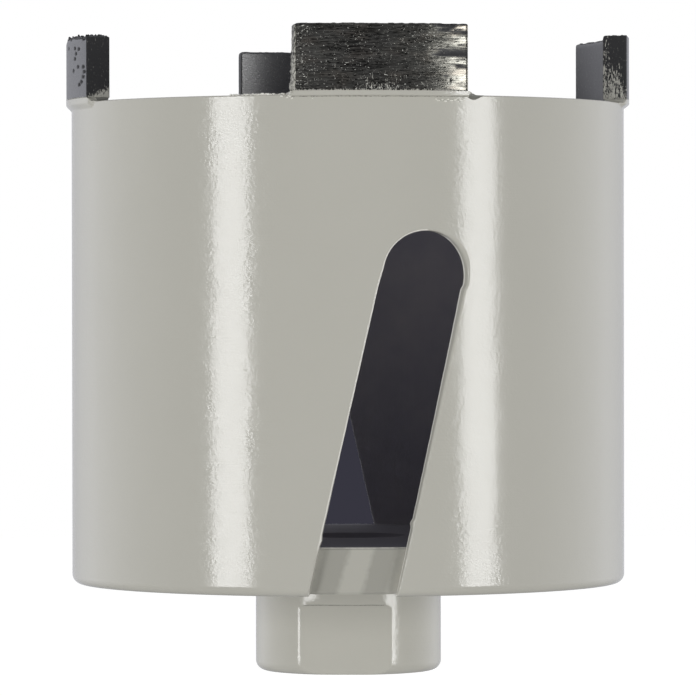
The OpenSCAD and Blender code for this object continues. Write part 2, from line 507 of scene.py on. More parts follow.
def slot_outline(slot, heights):
    """Outline of a slot up its left side, round its end and down its right side, as one entry a point.

    Each entry has a function that gives the place at an offset outside the outline, the direction into
    the slot, the width of the broken edge there and how far a fault stands into the slot."""
    shift, growth = (END_SHIFT, END_GROWTH) if slot == 0 else (0.0, 0.0)

    def fault(side, height):
        wobble = 0.03 * wave(side * 40 + slot * 90, height, 3.0, 1.4)
        for fault_side, middle, depth, half in SLOT_FAULTS:
            if fault_side == side and slot == 0:
                wobble += depth * math.exp(-((height - middle) / half) ** 2)
        return wobble

    def side_point(side, share):
        run = max(0, 1 - (1 - share) * SLOT_REACH / END_RUN[side])
        moved = (shift + side * growth) * run * run * (3 - 2 * run)

        def at(offset):
            across = side * (SLOT_HALF + offset) + moved
            height = share * (SLOT_REACH * LEAN_COS - across * LEAN_SIN)
            return slot_place((height + across * LEAN_SIN) / LEAN_COS, across, slot)

        height = share * SLOT_REACH
        lip = LIP * (1 + 0.2 * wave(side * 70, height, slot * 50.0, 2.5))
        return at, (-side * LEAN_COS, side * LEAN_SIN), lip, fault(side, height)

    def arc_point(turn):
        def at(offset):
            reach = SLOT_HALF + growth + offset
            return slot_place(SLOT_REACH + reach * math.sin(turn), shift - reach * math.cos(turn), slot)

        across, along = math.cos(turn), -math.sin(turn)
        inward = (along * LEAN_SIN + across * LEAN_COS, along * LEAN_COS - across * LEAN_SIN)
        wide = WIDE_LIP * math.exp(-((turn - WIDE_LIP_AT) / WIDE_LIP_HALF) ** 4) if slot == 0 else 0.0
        height = SLOT_REACH + SLOT_HALF * math.sin(turn)
        return at, inward, LIP + wide, fault(1 if turn > math.pi / 2 else -1, height)

    entries = [side_point(-1, share) for share in heights]
    entries += [arc_point(math.pi * i / ARC_STEPS) for i in range(1, ARC_STEPS)]
    return entries + [side_point(1, share) for share in reversed(heights)]


def slot_distance(arc, height, slot):
    """Distance outside a slot's outline, below zero inside it."""
    arc -= slot_start(slot)
    along = arc * LEAN_SIN + height * LEAN_COS
    across = arc * LEAN_COS - height * LEAN_SIN
    if along < SLOT_REACH:
        return abs(across) - SLOT_HALF
    return math.hypot(across, along - SLOT_REACH) - SLOT_HALF


def inside_ring(spots, ring):
    """Which spots lie inside a closed outline."""
    from_point = np.array(ring)
    to_point = np.roll(from_point, -1, 0)
    x, y = spots[:, :1], spots[:, 1:]
    spans = (from_point[:, 1] > y) != (to_point[:, 1] > y)
    rise = to_point[:, 1] - from_point[:, 1]
    share = (y - from_point[:, 1]) / np.where(rise == 0, 1, rise)
    crossed = x < from_point[:, 0] + share * (to_point[:, 0] - from_point[:, 0])
    return (spans & crossed).sum(1) % 2 == 1


def barrel_rows():
    """Heights of the grid's rows, close together in the roundings of both ends."""
    rim_steps, plain = 4, 1.5
    turns = [math.pi / 2 * (1 - i / ROUND_STEPS) for i in range(ROUND_STEPS)]
    low = [LOWER_ROUNDING * (1 - math.sin(turn)) for turn in turns]
    span = BARREL_LEN - LOWER_ROUNDING - RIM_ROUNDING
    steps = round(span / plain)
    middle = [LOWER_ROUNDING + span * i / steps for i in range(steps)]
    rim = [BARREL_LEN - RIM_ROUNDING * (1 - math.sin(turn)) for turn in quarter(rim_steps)]
    return low + middle + rim


def quarter(steps):
    """Turns over a quarter circle."""
    return [math.pi / 2 * i / steps for i in range(steps + 1)]


def unrolled_sheet(outlines):
    """Triangles of the unrolled wall with the slots left out, and the index of each outline's points."""
    columns = 208
    start = BARREL_R * (math.pi / 2 - 2 * math.pi)
    length = 2 * math.pi * BARREL_R
    rows = barrel_rows()
    points, edges, rings = [], [], []
    for row in rows:
        for c in range(columns + 1):
            place = start + length * c / columns, row
            near = min(slot_distance(*place, slot) for slot in (0, -1))
            if near > 0.9 or (row in (rows[0], rows[-1]) and near > 0.6):
                points.append(place)
    for ring in outlines:
        ids = range(len(points), len(points) + len(ring))
        points += ring
        edges += list(zip(ids, ids[1:]))
        rings.append(ids)
    result = geometry.delaunay_2d_cdt([Vector(p) for p in points], edges, [], 0, 1e-5, True)
    places, triangles, origins = result[0], result[2], result[3]
    index = {origin: i for i, group in enumerate(origins) for origin in group}
    middles = np.array([sum((places[i] for i in t), Vector((0, 0))) / 3 for t in triangles])
    cut_out = np.any([inside_ring(middles, ring) for ring in outlines], axis=0)
    kept = []
    for triangle, gone in zip(triangles, cut_out):
        a, b, c = (places[i] for i in triangle)
        if not gone:
            kept.append(triangle if (b - a).cross(c - a) > 0 else triangle[::-1])
    # The two ends of the unrolled sheet are one line on the tube
    first = {round(p.y, 4): i for i, p in enumerate(places) if abs(p.x - start) < 1e-4}
    join = {i: first[round(p.y, 4)] for i, p in enumerate(places) if abs(p.x - start - length) < 1e-4}
    kept = [tuple(join.get(v, v) for v in t) for t in kept]
    return places, kept, [[index[i] for i in ring] for ring in rings]


class Shell:
    """Collects points, each with its share of painted highlight, and faces with a normal for every corner."""

    def __init__(self):
        self.points, self.edge, self.faces, self.normals, self.materials = [], [], [], [], []

    def add(self, point, edge=0.0):
        self.points.append(point)
        self.edge.append(edge)
        return len(self.points) - 1

    def face(self, ids, normals, material=0):
        self.faces.append(tuple(ids))
        self.normals += normals
        self.materials.append(material)


def outer_lip(entry, step, lit):
    """Corner of a slot's broken outer edge: its radius, place, normal and share of painted highlight."""
    at, inward, lip, fault = entry
    turn = math.pi / 2 * step / LIP_STEPS
    place = at(lip * (1 - math.sin(turn)) - fault * step / LIP_STEPS)
    wall, slope = outer_wall(place[1])
    deep = min(lip, 2 * LIP, (wall - BORE_R) * 0.45)
    along = inward[0] * math.sin(turn), inward[1] * math.sin(turn) + slope * math.cos(turn)
    normal = turned(math.cos(turn) * level_share(slope), along, place[0])
    light = min(1.0, max(0.0, (place[1] - HIGHLIGHT_FROM) / HIGHLIGHT_RUN)) if lit else 0.0
    return wall - deep * (1 - math.cos(turn)), place, normal, light


def cut_face(entry, depth, light):
    """Corner on the slot's radial cut face, at a share of the wall's thickness."""
    at, inward, _, fault = entry
    place = at(-fault)
    wall = outer_wall(place[1])[0]
    return wall + (BORE_R - wall) * depth, place, turned(0, inward, place[0]), light


def inner_lip(entry, step):
    """Corner of the slot's smaller broken inner edge."""
    at, inward, lip, fault = entry
    turn = math.pi / 2 * step / INNER_STEPS
    place = at(lip * (1 - math.sin(turn)) - fault)
    rise = min(INNER_LIP, (outer_wall(place[1])[0] - BORE_R) * 0.3)
    along = inward[0] * math.sin(turn), inward[1] * math.sin(turn)
    return BORE_R + rise * (1 - math.cos(turn)), place, turned(-math.cos(turn), along, place[0]), 1.0


def add_slot_edge(shell, entries, outer_ring, inner_ring):
    """Faces over a slot's edge, from its ring of corners on the outer face to the ring in the bore."""
    apex = next(i for i, entry in enumerate(entries) if entry[1][1] < 0 and entry[1][0] <= 0)
    # Painted highlight: lighter paint along the outer edge of the left side and the left half of the end, on
    # the cut face next to the bore elsewhere, and next to the inner edge all round
    left = [i <= apex for i in range(len(entries))]
    rows = []
    for step in range(1, LIP_STEPS + 1):
        rows.append([outer_lip(entry, step, here and step > 1) for entry, here in zip(entries, left)])
    for depth, light in ((0.62, 0.0), (0.76, 1.0)):
        rows.append([cut_face(entry, depth, 0.0 if here else light) for entry, here in zip(entries, left)])
    for step in range(INNER_STEPS, 0, -1):
        rows.append([inner_lip(entry, step) for entry in entries])
    levels = [outer_ring]
    for row in rows:
        levels.append([(shell.add(on_barrel(radius, *place), light), normal)
                       for radius, place, normal, light in row])
    levels.append(inner_ring)
    for number, (upper, lower) in enumerate(zip(levels, levels[1:])):
        material = 1 if number > LIP_STEPS + 2 else 0
        for i in range(len(entries) - 1):
            corners = (upper[i], lower[i], lower[i + 1], upper[i + 1])
            shell.face([c[0] for c in corners], [c[1] for c in corners], material)
    for end, order in ((0, 1), (-1, -1)):
        ids = [level[end][0] for level in levels][::order]
        shell.face(ids, [Vector((0, 0, -1))] * len(ids))


def add_end_rings(shell, places, triangles, outer_id, inner_id):
    """Flat ends of the tube: the lower edge's thin ring and the rim."""
    edges = [edge for t in triangles for edge in zip(t, t[1:] + t[:1])]
    known = set(edges)
    for a, b in edges:
        for level, up in ((0, -1), (BARREL_LEN, 1)):
            if (b, a) not in known and all(abs(places[v][1] - level) < 1e-4 for v in (a, b)):
                shell.face([outer_id[b], outer_id[a], inner_id[a], inner_id[b]], [Vector((0, 0, up))] * 4)


def build_barrel(paint, inside):
    """Tube wall with slanted slots, rounded ends and broken slot edges; painted outside, bare inside."""
    shell = Shell()
    low = [height / (SLOT_REACH * LEAN_COS) for height in barrel_rows()[:ROUND_STEPS]]
    heights = low + [low[-1] + (1 - low[-1]) * i / SIDE_STEPS for i in range(1, SIDE_STEPS + 1)]
    slots = [slot_outline(slot, heights) for slot in (0, -1)]
    outlines = [[at(lip) for at, _, lip, _ in entries] for entries in slots]
    places, triangles, rings = unrolled_sheet(outlines)
    used = sorted({v for t in triangles for v in t})
    outer_id = {v: shell.add(on_barrel(outer_wall(places[v][1])[0], *places[v])) for v in used}
    inner_id = {v: shell.add(on_barrel(BORE_R, *places[v])) for v in used}
    for t in triangles:
        shell.face([outer_id[v] for v in t], [outer_normal(places[v]) for v in t])
        back = t[::-1]
        shell.face([inner_id[v] for v in back], [inner_normal(places[v]) for v in back], 1)
    add_end_rings(shell, places, triangles, outer_id, inner_id)
    for entries, ring in zip(slots, rings):
        outer_ring = [(outer_id[v], outer_normal(places[v])) for v in ring]
        inner_ring = [(inner_id[v], inner_normal(places[v])) for v in ring]
        add_slot_edge(shell, entries, outer_ring, inner_ring)
    piece = add_piece("barrel", shell.points, shell.faces, ["barrel_tube"], [paint, inside],
                      shell.normals, shell.materials)
    add_mask(piece, "edge", shell.edge)


# Hub


def soft_min(a, b, width):
    """Smaller of two values, with the corner between them rounded over a width."""
    near = np.maximum(width - np.abs(a - b), 0) / width
    return np.minimum(a, b) - near * near * width / 4


def hub_angles():
    """Angles of the hub's columns: every two degrees, and closer over the four corners of its flats."""
    corner = math.acos(FLAT_Y / HUB_R)
    fine = np.radians(np.arange(-2.4, 2.5, 0.4))
    corners = [FLAT_TURN + turn + side * corner + fine for turn in (0, math.pi) for side in (-1, 1)]
    return np.unique(np.concatenate([np.radians(np.arange(0, 360, 2)), *corners]).round(5) % (2 * math.pi))


def hub_heights():
    """Heights of the rows up to the flats' top, close together in the roundings."""
    heights = [FLAT_ROUNDING * (1 - math.cos(t)) for t in quarter(4)]
    heights += [FLAT_ROUNDING + (HUB_ROUNDING - FLAT_ROUNDING) * i / 6 for i in range(1, 7)]
    steps = 9
    span = FLAT_TOP - FLAT_FILLET - HUB_ROUNDING
    heights += [HUB_ROUNDING + span * i / steps for i in range(1, steps + 1)]
    return heights + [FLAT_TOP - FLAT_FILLET * (1 - math.sin(t)) for t in quarter(10)[1:]]


def hub_body(angle, height):
    """Radius of the hub's outside below the flats' top."""
    off_flat = (angle - FLAT_TURN + math.pi / 2) % math.pi - math.pi / 2
    low = max(0, HUB_ROUNDING - height)
    round_r = HUB_R - HUB_ROUNDING + math.sqrt(HUB_ROUNDING ** 2 - low ** 2)
    low = max(0, FLAT_ROUNDING - height)
    plain = FLAT_Y / np.cos(off_flat) - FLAT_ROUNDING + math.sqrt(FLAT_ROUNDING ** 2 - low ** 2)
    high = max(0, height - FLAT_TOP + FLAT_FILLET)
    plain = plain + FLAT_FILLET - math.sqrt(max(0, FLAT_FILLET ** 2 - high ** 2))
    # The front flat's left corner is broken more widely than its right one
    corner_soft = np.where(np.sin(angle) > 0, 0.08, 0.45)
    return soft_min(round_r, plain, corner_soft)


def thread_radius(angle, height):
    """Radius of the bore: the thread's groove, or the countersink of the nearer end."""
    phase = (height / THREAD_PITCH - angle / (2 * math.pi)) % 1.0
    from_root = np.abs(phase - 0.5) * THREAD_PITCH
    flank = (from_root - THREAD_PITCH / 16) / math.tan(math.radians(30))
    groove = np.clip(THREAD_R - np.maximum(flank, 0), TAP_R, THREAD_R)
    return np.maximum(groove, COUNTERSINK_R - min(height, HUB_TOP - height))


def build_hub(paint, inside):
    """Turned hub with its spigot, two milled flats and the real thread in its bore."""
    angle = hub_angles()
    columns = len(angle)
    profile = [(COUNTERSINK_R + share * (hub_body(angle, 0) - COUNTERSINK_R), 0) for share in (0, 0.5)]
    profile += [(hub_body(angle, height), height) for height in hub_heights()]
    for t in quarter(4)[1:]:
        step = np.maximum(hub_body(angle, FLAT_TOP), HUB_R - STEP_ROUNDING * (1 - math.sin(t)))
        profile.append((step, FLAT_TOP + STEP_ROUNDING * (1 - math.cos(t))))
    profile += [(HUB_R, (FLAT_TOP + PLATE_BASE) / 2), (HUB_R, PLATE_BASE)]
    painted_rows = len(profile)
    profile += [(SPIGOT_R, PLATE_BASE), (SPIGOT_R, HUB_TOP), (COUNTERSINK_R, HUB_TOP)]
    thread_rows = 128
    heights = [HUB_TOP * (1 - i / thread_rows) for i in range(1, thread_rows)]
    profile += [(thread_radius(angle, height), height) for height in heights]
    rows = []
    for radius, height in profile:
        radius = np.broadcast_to(radius, angle.shape)
        rows.append(np.stack([radius * np.sin(angle), -radius * np.cos(angle), np.full(columns, height)], 1))
    points = np.concatenate(rows)
    faces = []
    for r in range(len(rows)):
        for c in range(columns):
            a, b = r * columns + c, r * columns + (c + 1) % columns
            shift = columns if r < len(rows) - 1 else -r * columns
            faces.append((a, b, b + shift, a + shift))
    bare = [0 if r < painted_rows else 1 for r in range(len(rows)) for _ in range(columns)]
    piece = add_piece("hub", points, faces, ["threaded_hub"], [paint, inside],
                      face_materials=bare, sharp=math.radians(38))
    # Painted shade: a dark line along the step at the flats' top, under its overhang
    at_step = (points[:, 2] > FLAT_TOP - 0.09) & (points[:, 2] < FLAT_TOP - 0.004)
    cut = np.hypot(points[:, 0], points[:, 1]) < HUB_R - 0.03
    add_mask(piece, "bare", np.where(at_step & cut, 0.8, 0.0))


# Segments and their feet


class Wear(NamedTuple):
    """How one segment is worn, in millimetres."""
    # How far the top lies below its full height at the segment's low end, its middle and its high end
    top: tuple = (0.0, 0.0, 0.0)
    # Width and height of the rounding along the top edges of its two ends, its outer and its inner face
    ends: tuple = ((0.2, 0.2), (0.2, 0.2))
    outer: tuple = (0.2, 0.2)
    inner: tuple = (0.25, 0.25)
    # How far the outer face's ends lie behind the cut's circle
    back: float = 0.0
    # How far the top's grit stands out, and how densely, from -1 to 1
    bumps: float = 0.08
    grit: float = 0.0
    # Depth of the pits in its faces
    pits: float = 0.10


WEAR = {
    1: Wear(ends=((0.7, 0.35), (0.15, 0.15)), back=0.30, bumps=0.06, pits=0.05),
    2: Wear(top=(0.0, 0.1, 0.1), inner=(0.5, 0.7), bumps=0.12, pits=0.04),
    3: Wear(top=(0.35, 0.3, 0.38), ends=((0.3, 0.3), (0.35, 0.7)), bumps=0.05, pits=0.03),
    4: Wear(top=(0.0, 0.0, 0.20), outer=(0.6, 1.0), back=0.30, bumps=0.45, grit=-1.0, pits=0.0),
}
# Lost grains seen on a segment's outer face: places along it and up it, and their half length and height
LOST_GRAINS = {
    4: ((7.0, 7.2), (8.8, 7.0), (7.5, 6.4), (7.0, 5.7), (6.2, 4.0), (8.5, 4.5), (10.6, 4.4), (11.0, 3.7),
        (10.6, 3.0), (9.9, 2.3), (9.0, 1.9), (4.3, 8.6), (8.4, 8.8), (10.6, 8.4), (2.8, 7.4)),
}
LOST_GRAIN_HALF = (0.45, 0.22)
UPRIGHT_ROUNDING = 0.14
SEGMENT_CELL = 0.16


def at_segment(number, side, radius, height):
    """Points of a segment or foot: side runs along it from its middle, radius from the bit's axis."""
    angle = SEGMENT_TURN + (number - 1) * 2 * math.pi / SEGMENT_COUNT
    out = np.sqrt(radius ** 2 - side ** 2)
    x = out * math.sin(angle) + side * math.cos(angle)
    y = -out * math.cos(angle) + side * math.sin(angle)
    return np.stack([x, y, height], 1)


def surface_grid(counts):
    """Points and quads of a closed box of counts cells along each axis, in cells, each face once."""
    index, points, faces = {}, [], []

    def point(key):
        if key not in index:
            index[key] = len(points)
            points.append(key)
        return index[key]

    for axis in range(3):
        u, v = (axis + 1) % 3, (axis + 2) % 3
        for level in (0, counts[axis]):
            for i in range(counts[u]):
                for j in range(counts[v]):
                    quad = []
                    for du, dv in ((0, 0), (1, 0), (1, 1), (0, 1)):
                        key = [0, 0, 0]
                        key[axis], key[u], key[v] = level, i + du, j + dv
                        quad.append(point(tuple(key)))
                    faces.append(quad if level else quad[::-1])
    return np.array(points, float), faces


class Block:
    """A segment's grid of points, and which of them lie on its ends, faces, top and foot."""

    def __init__(self):
        size = np.array([SEGMENT_W, SEGMENT_THICK, SEGMENT_H])
        counts = [round(length / SEGMENT_CELL) for length in size]
        cells, self.faces = surface_grid(counts)
        box = cells / np.array(counts) * size
        self.side, self.deep, self.up = box[:, 0] - SEGMENT_HALF, box[:, 1], box[:, 2]
        self.on_end = np.isin(cells[:, 0], (0, counts[0]))
        self.inner, self.outer = cells[:, 1] == 0, cells[:, 1] == counts[1]
        self.foot, self.top = cells[:, 2] == 0, cells[:, 2] == counts[2]
        self.on_wall = self.on_end | self.inner | self.outer

    def places(self):
        return np.stack([self.side, self.deep, self.up], 1)

    def break_uprights(self):
        """Rounds the upright edges; gives the way out of the block at each point."""
        r = UPRIGHT_ROUNDING
        middle_side = np.clip(self.side, r - SEGMENT_HALF, SEGMENT_HALF - r)
        core = np.stack([middle_side, np.clip(self.deep, r, SEGMENT_THICK - r)], 1)
        off = self.places()[:, :2] - core
        far = np.linalg.norm(off, axis=1)
        self.side, self.deep = (core + off * (r / np.maximum(far, r))[:, None]).T
        way = np.zeros((len(far), 3))
        outwards = off / np.maximum(far, 1e-9)[:, None]
        way[:, :2] = np.where((self.on_wall & (far > 1e-9))[:, None], outwards, 0)
        way[self.top, 2] = 1
        way[self.foot & ~self.on_wall, 2] = -1
        return way

    def round_tops(self, wear):
        """Rounds the top edges, one after the other."""
        for sign, size in zip((-1, 1), wear.ends):
            gap, below = round_off(SEGMENT_HALF - sign * self.side, SEGMENT_H - self.up, *size)
            self.side, self.up = sign * (SEGMENT_HALF - gap), SEGMENT_H - below
        gap, below = round_off(SEGMENT_THICK - self.deep, SEGMENT_H - self.up, *wear.outer)
        self.deep, self.up = SEGMENT_THICK - gap, SEGMENT_H - below
        self.deep, below = round_off(self.deep, SEGMENT_H - self.up, *wear.inner)
        self.up = SEGMENT_H - below


def round_off(from_side, from_top, width, height):
    """Moves points near a top edge onto its rounding; gives the new distances from side and top."""
    side = np.clip(1 - from_side / width, 0, None)
    top = np.clip(1 - from_top / height, 0, None)
    far = np.maximum(np.hypot(side, top), 1e-9)
    inside = (side > 0) & (top > 0) & (far > 1)
    side, top = side / far, top / far
    return np.where(inside, (1 - side) * width, from_side), np.where(inside, (1 - top) * height, from_top)


def top_loss(number, place):
    """How far a segment's top is worn down."""
    low, middle, last = WEAR[number].top
    along = place[:, 0] / SEGMENT_HALF
    lower = middle + (low - middle) * np.clip(-along, 0, 1) ** 2 + (last - middle) * np.clip(along, 0, 1) ** 2
    return lower + 0.05 * (1 + smooth_noise(place * (1, 1, 0), 2.2, number)) / 2


def face_depth(number, block, place, holes):
    """How far each point lies behind the block's full form: unevenness, grinding lines, pits, holes."""
    wear = WEAR[number]
    lost = grains(place + 50, 0.9, 0.28, 0.20, 10 * number + 5)
    fine = (1 + smooth_noise(place, 0.4, number + 20)) / 2
    lined = (1 + smooth_noise(place, (1.6, 1.6, 0.32), number + 40)) / 2
    depth = np.full(len(place), 0.03)
    depth += np.where(block.top, 0.05 * fine, 0)
    depth += np.where(block.outer, (0.03 if number == 1 else 0.01) * lined + wear.pits * lost, 0)
    depth += np.where(block.on_end, 0.03 * fine + 0.5 * wear.pits * lost, 0)
    depth += np.where(block.outer, 0.2 * holes, 0)
    depth += np.where(block.outer, wear.back * (block.side / SEGMENT_HALF) ** 2, 0)
    if number == 1:
        depth = np.where(block.on_end & (block.side < 0), depth - weld_crust(place), depth)
    return np.where(block.foot & ~block.outer, 0.02, depth)


def build_segment(number, metal):
    """Diamond block: ground cylinder faces, broken edges, open grit, pits and a worn top."""
    wear, block = WEAR[number], Block()
    way = block.break_uprights()
    block.round_tops(wear)
    place = block.places()
    block.up = block.up * (1 - (top_loss(number, place) + wear.bumps) / SEGMENT_H)
    holes = lost_grains(number, block.side, block.up)
    depth = face_depth(number, block, place, holes)
    # The top's grit stands proud of a top that lies lower by its height
    proud = np.clip(wear.grit + 2.2 * smooth_noise(place * (1, 1, 0), 0.45, 10 * number), 0, 1)
    bright = (block.outer | block.on_end & (block.side > 0)) & (number == 1)
    block.up = block.up + wear.bumps * proud * block.top
    place = block.places() - way * depth[:, None]
    points = at_segment(number, place[:, 0], place[:, 1] + CUTTING_R - SEGMENT_THICK, place[:, 2] + FOOT_TOP)
    nodes = [f"diamond_segment_{number}"]
    piece = add_piece(f"segment_{number}", points, block.faces, nodes, [metal])
    dull = dull_places(place)
    coarse = np.where(block.on_end | block.top, 1.0, np.where(block.outer, holes, 0.0))
    coarse = np.where(bright, dull, coarse)
    add_mask(piece, "overspray", overspray(number, place, block.on_end, block.inner))
    add_mask(piece, "ground", np.where(bright, 1.0 - dull, 0.0))
    add_mask(piece, "coarse", np.where(block.inner & (number == 2), 0.30, coarse))
    add_mask(piece, "open", open_grit(number, place))


def lost_grains(number, side, up):
    """Depth from 0 to 1 of the pits that lost grains have left on a segment's outer face."""
    depth = np.zeros(len(side))
    for middle, height in LOST_GRAINS.get(number, ()):
        away = ((side - middle) / LOST_GRAIN_HALF[0]) ** 2 + ((up - height) / LOST_GRAIN_HALF[1]) ** 2
        depth = np.maximum(depth, np.clip(2.2 - 1.5 * away, 0, 1))
    return depth


def weld_crust(place):
    """How far weld spatter and paint stand out of the front segment's left end, more towards its foot."""
    reach = np.clip(0.42 - 0.05 * place[:, 2], 0.02, 0.4)
    lumps = grains(place + 9, 0.5, 0.6, 0.35, 311)
    return reach * np.clip(0.25 + lumps + 0.3 * smooth_noise(place, 0.3, 312), 0, 1)


def dull_places(place):
    """Share of the front segment's outer face that isn't ground bright: a torn band, spots on the right."""
    side, up = place[:, 0], place[:, 2]
    torn = smooth_noise(place, (2.2, 3.0, 0.5), 91) + 0.6 * smooth_noise(place, (0.9, 3.0, 0.35), 92)
    band = bell(up + 0.5 * torn, 5.3, 0.8) * (0.75 + 0.4 * torn)
    top = np.clip((up - 6.3) / 2.5, 0, 1) * (0.35 + 0.8 * torn)
    spots = 0.8 * torn - 0.2
    return np.clip(np.maximum(np.maximum(band, top), spots) * np.clip((side - 6.0) / 2.5, 0, 1), 0, 1)


def open_grit(number, place):
    """How much more than elsewhere the grit lies open: on the front segment's left, low middle and right."""
    side, up = place[:, 0], place[:, 2]
    if number != 1:
        return np.zeros(len(place))
    left = 0.05 * bell(side, -11.0, 1.6)
    low = 0.07 * bell(side, -0.5, 4.0) * bell(up, 0.0, 1.6)
    right = 0.04 * bell(side, 6.5, 2.5) * bell(up, 7.5, 3.0)
    return left + low + right


def overspray(number, place, on_end, inner):
    """Share of paint on a segment: a ragged line at its foot, and more on some of its faces."""
    side, deep, up = place[:, 0], place[:, 1], place[:, 2]
    plain = 0.75 - up / 0.35
    if number == 1:
        # Rough paint all over the left end, and a cluster of specks over the foot's middle
        ragged = 0.66 - 0.02 * up + 0.25 * smooth_noise(place, 0.5, 77)
        cluster = bell(side, -0.4, 3.0) * np.clip(0.44 - up / 6.0, 0, None)
        more = np.maximum(np.where(on_end & (side < 0), ragged, 0), cluster)
    elif number == 2:
        # Streaks of paint that rise up the front end, higher towards the bore
        streak = smooth_noise(place * (0, 1, 0.10) + 3, 0.22, 71)
        streak += 0.5 * smooth_noise(place * (0, 1, 0.3), 0.18, 72)
        more = np.where(on_end & (side < 0), 0.68 + 0.30 * streak - 0.55 * up / (8.6 - 1.7 * deep), 0)
    elif number == 3:
        # Spray that came over the rim from the front
        haze = 2.1 + 0.35 * smooth_noise(place, 0.6, 73)
        more = np.where(inner, 0.5 + (haze - up) / 0.9, 0)
    else:
        # A wedge of paint, higher towards the bore
        wedge = 1.15 - 0.43 * deep
        more = np.where(on_end & (side > 0), 0.66 + 0.7 * (wedge - up), 0)
    return np.clip(np.maximum(plain, more), 0, 1)


class Foot(NamedTuple):
    """A segment's foot and weld, in millimetres."""
    # How far its full thickness reaches below the rim, and the height in which it then runs out
    drop: float = FOOT_DROP
    run: float = WELD_RUN
    # How far the weld runs on past its low and its high end, and the height of its lumps there
    spills: tuple = (1.6, 1.6)
    lumps: tuple = (0.03, 0.03)
    # Which side of the weld at the high end is dark: "outside" is left bare by the paint, "inside" is darker
    bare: str = ""


FEET = {
    1: Foot(drop=0.05, run=0.32, spills=(2.2, 2.4), lumps=(0.35, 0.05), bare="outside"),
    2: Foot(drop=-0.1, run=0.95, lumps=(0.16, 0.03)),
    3: Foot(),
    4: Foot(drop=0.0, run=1.25, lumps=(0.03, 0.25), bare="inside"),
}
FOOT_STEP = 0.2
SPILL_STEPS = 24
# Lap of the foot's section into the barrel's wall
FOOT_LAP = 0.04
# Rows of the foot's section that lie in the crease under it
CREASE = slice(8, 12)
# Crumbs of weld spatter on the front foot: place along it and height over the barrel's rim, and radius
CRUMBS = (
    (7.6, -0.62, 0.13), (7.9, -0.78, 0.16), (8.5, -0.68, 0.12), (8.9, -0.88, 0.17), (9.3, -0.62, 0.13),
    (9.8, -0.79, 0.16), (10.3, -0.70, 0.18), (10.7, -0.92, 0.12), (11.1, -0.66, 0.16), (11.5, -0.58, 0.15),
    (-12.6, -0.15, 0.22), (-12.9, 0.05, 0.16), (-13.3, -0.05, 0.20), (-13.0, -0.4, 0.14), (-13.7, -0.2, 0.14),
    (-14.1, 0.0, 0.12), (-12.4, -0.5, 0.13), (-13.5, 0.18, 0.12), (-14.5, -0.1, 0.09), (-9.6, -0.60, 0.08),
)


def foot_profile(share, foot, proud, skin):
    """Outline of a foot's section as radius and height; share is 1 under the segment and 0 at a spill's end.

    proud is how far the full foot stands out of the barrel's face, and skin how far a spill's skin does."""
    out, back = max(proud * share, skin), (CUTTING_R - BARREL_R) * share
    top = RIM_Z + FOOT_H * share ** 4
    low = min(RIM_Z - foot.drop * share, top)
    steps, across = 10, 6
    outer, inner = [], []
    for i in range(steps + 1):
        t = i / steps
        fall = (1 - math.cos(math.pi * t)) / 2
        height = low - t * (foot.run * (0.3 + 0.7 * share) + 8 * skin)
        outer.append((BARREL_R - FOOT_LAP + (out + FOOT_LAP) * (1 - fall), height))
        inner.append((BORE_R + FOOT_LAP - (back + FOOT_LAP) * (1 - fall), height))
    outline = [(BARREL_R + out, top - (top - low) * i / 3) for i in range(3)]
    outline += outer + [(BARREL_R - FOOT_LAP, RIM_Z - 1.6), (BORE_R + FOOT_LAP, RIM_Z - 1.6)] + inner[::-1]
    outline += [(BORE_R - back, low + (top - low) * i / 3) for i in range(1, 4)]
    span = BARREL_R + out + back - BORE_R
    return outline + [(BORE_R - back + span * i / across, top) for i in range(1, across)]


def rim_crumbs():
    """Crumbs of spatter along the rim beside the front foot's left end: place, height over it and radius."""
    count = 70
    step = np.arange(count)[:, None] * np.ones(3)
    place, up, size = (chance(step, seed) for seed in (501, 502, 503))
    side = -12.3 - 8.2 * (np.arange(count) + place) / count
    return tuple(zip(side, 0.24 * up - 0.08, 0.07 + 0.13 * size ** 2))


def ring_faces(start, rows, columns):
    """Quads between the rows of points of a tube, from a first point on."""
    faces = []
    for r in range(rows - 1):
        for c in range(columns):
            a, b = start + r * columns + c, start + r * columns + (c + 1) % columns
            faces.append((a, a + columns, b + columns, b))
    return faces


def add_crumb(points, faces, middle, radius, seed):
    """Adds a small lumpy ball of weld spatter."""
    around, rings = 8, 4
    faces += ring_faces(len(points), rings + 1, around)
    for ring in range(rings + 1):
        for step in range(around):
            turn, rise = 2 * math.pi * step / around, math.pi * ring / rings
            way = Vector((math.cos(turn) * math.sin(rise), math.sin(turn) * math.sin(rise), math.cos(rise)))
            lumpy = radius * (1 + 0.5 * wave(*(way + Vector((seed, 0, 0))), 0.8))
            points.append(middle + Vector((way.x * 1.6, way.y, way.z * 0.8)) * lumpy)


def foot_sides(foot):
    """Places along a foot and its two spills, from the low end to the high one."""
    count = round(SEGMENT_HALF / FOOT_STEP)
    under = [SEGMENT_HALF * i / count for i in range(count)]
    steps = range(SPILL_STEPS + 1)
    left, right = ([SEGMENT_HALF + spill * i / SPILL_STEPS for i in steps] for spill in foot.spills)
    return [-side for side in reversed(under[1:] + left)] + under + right


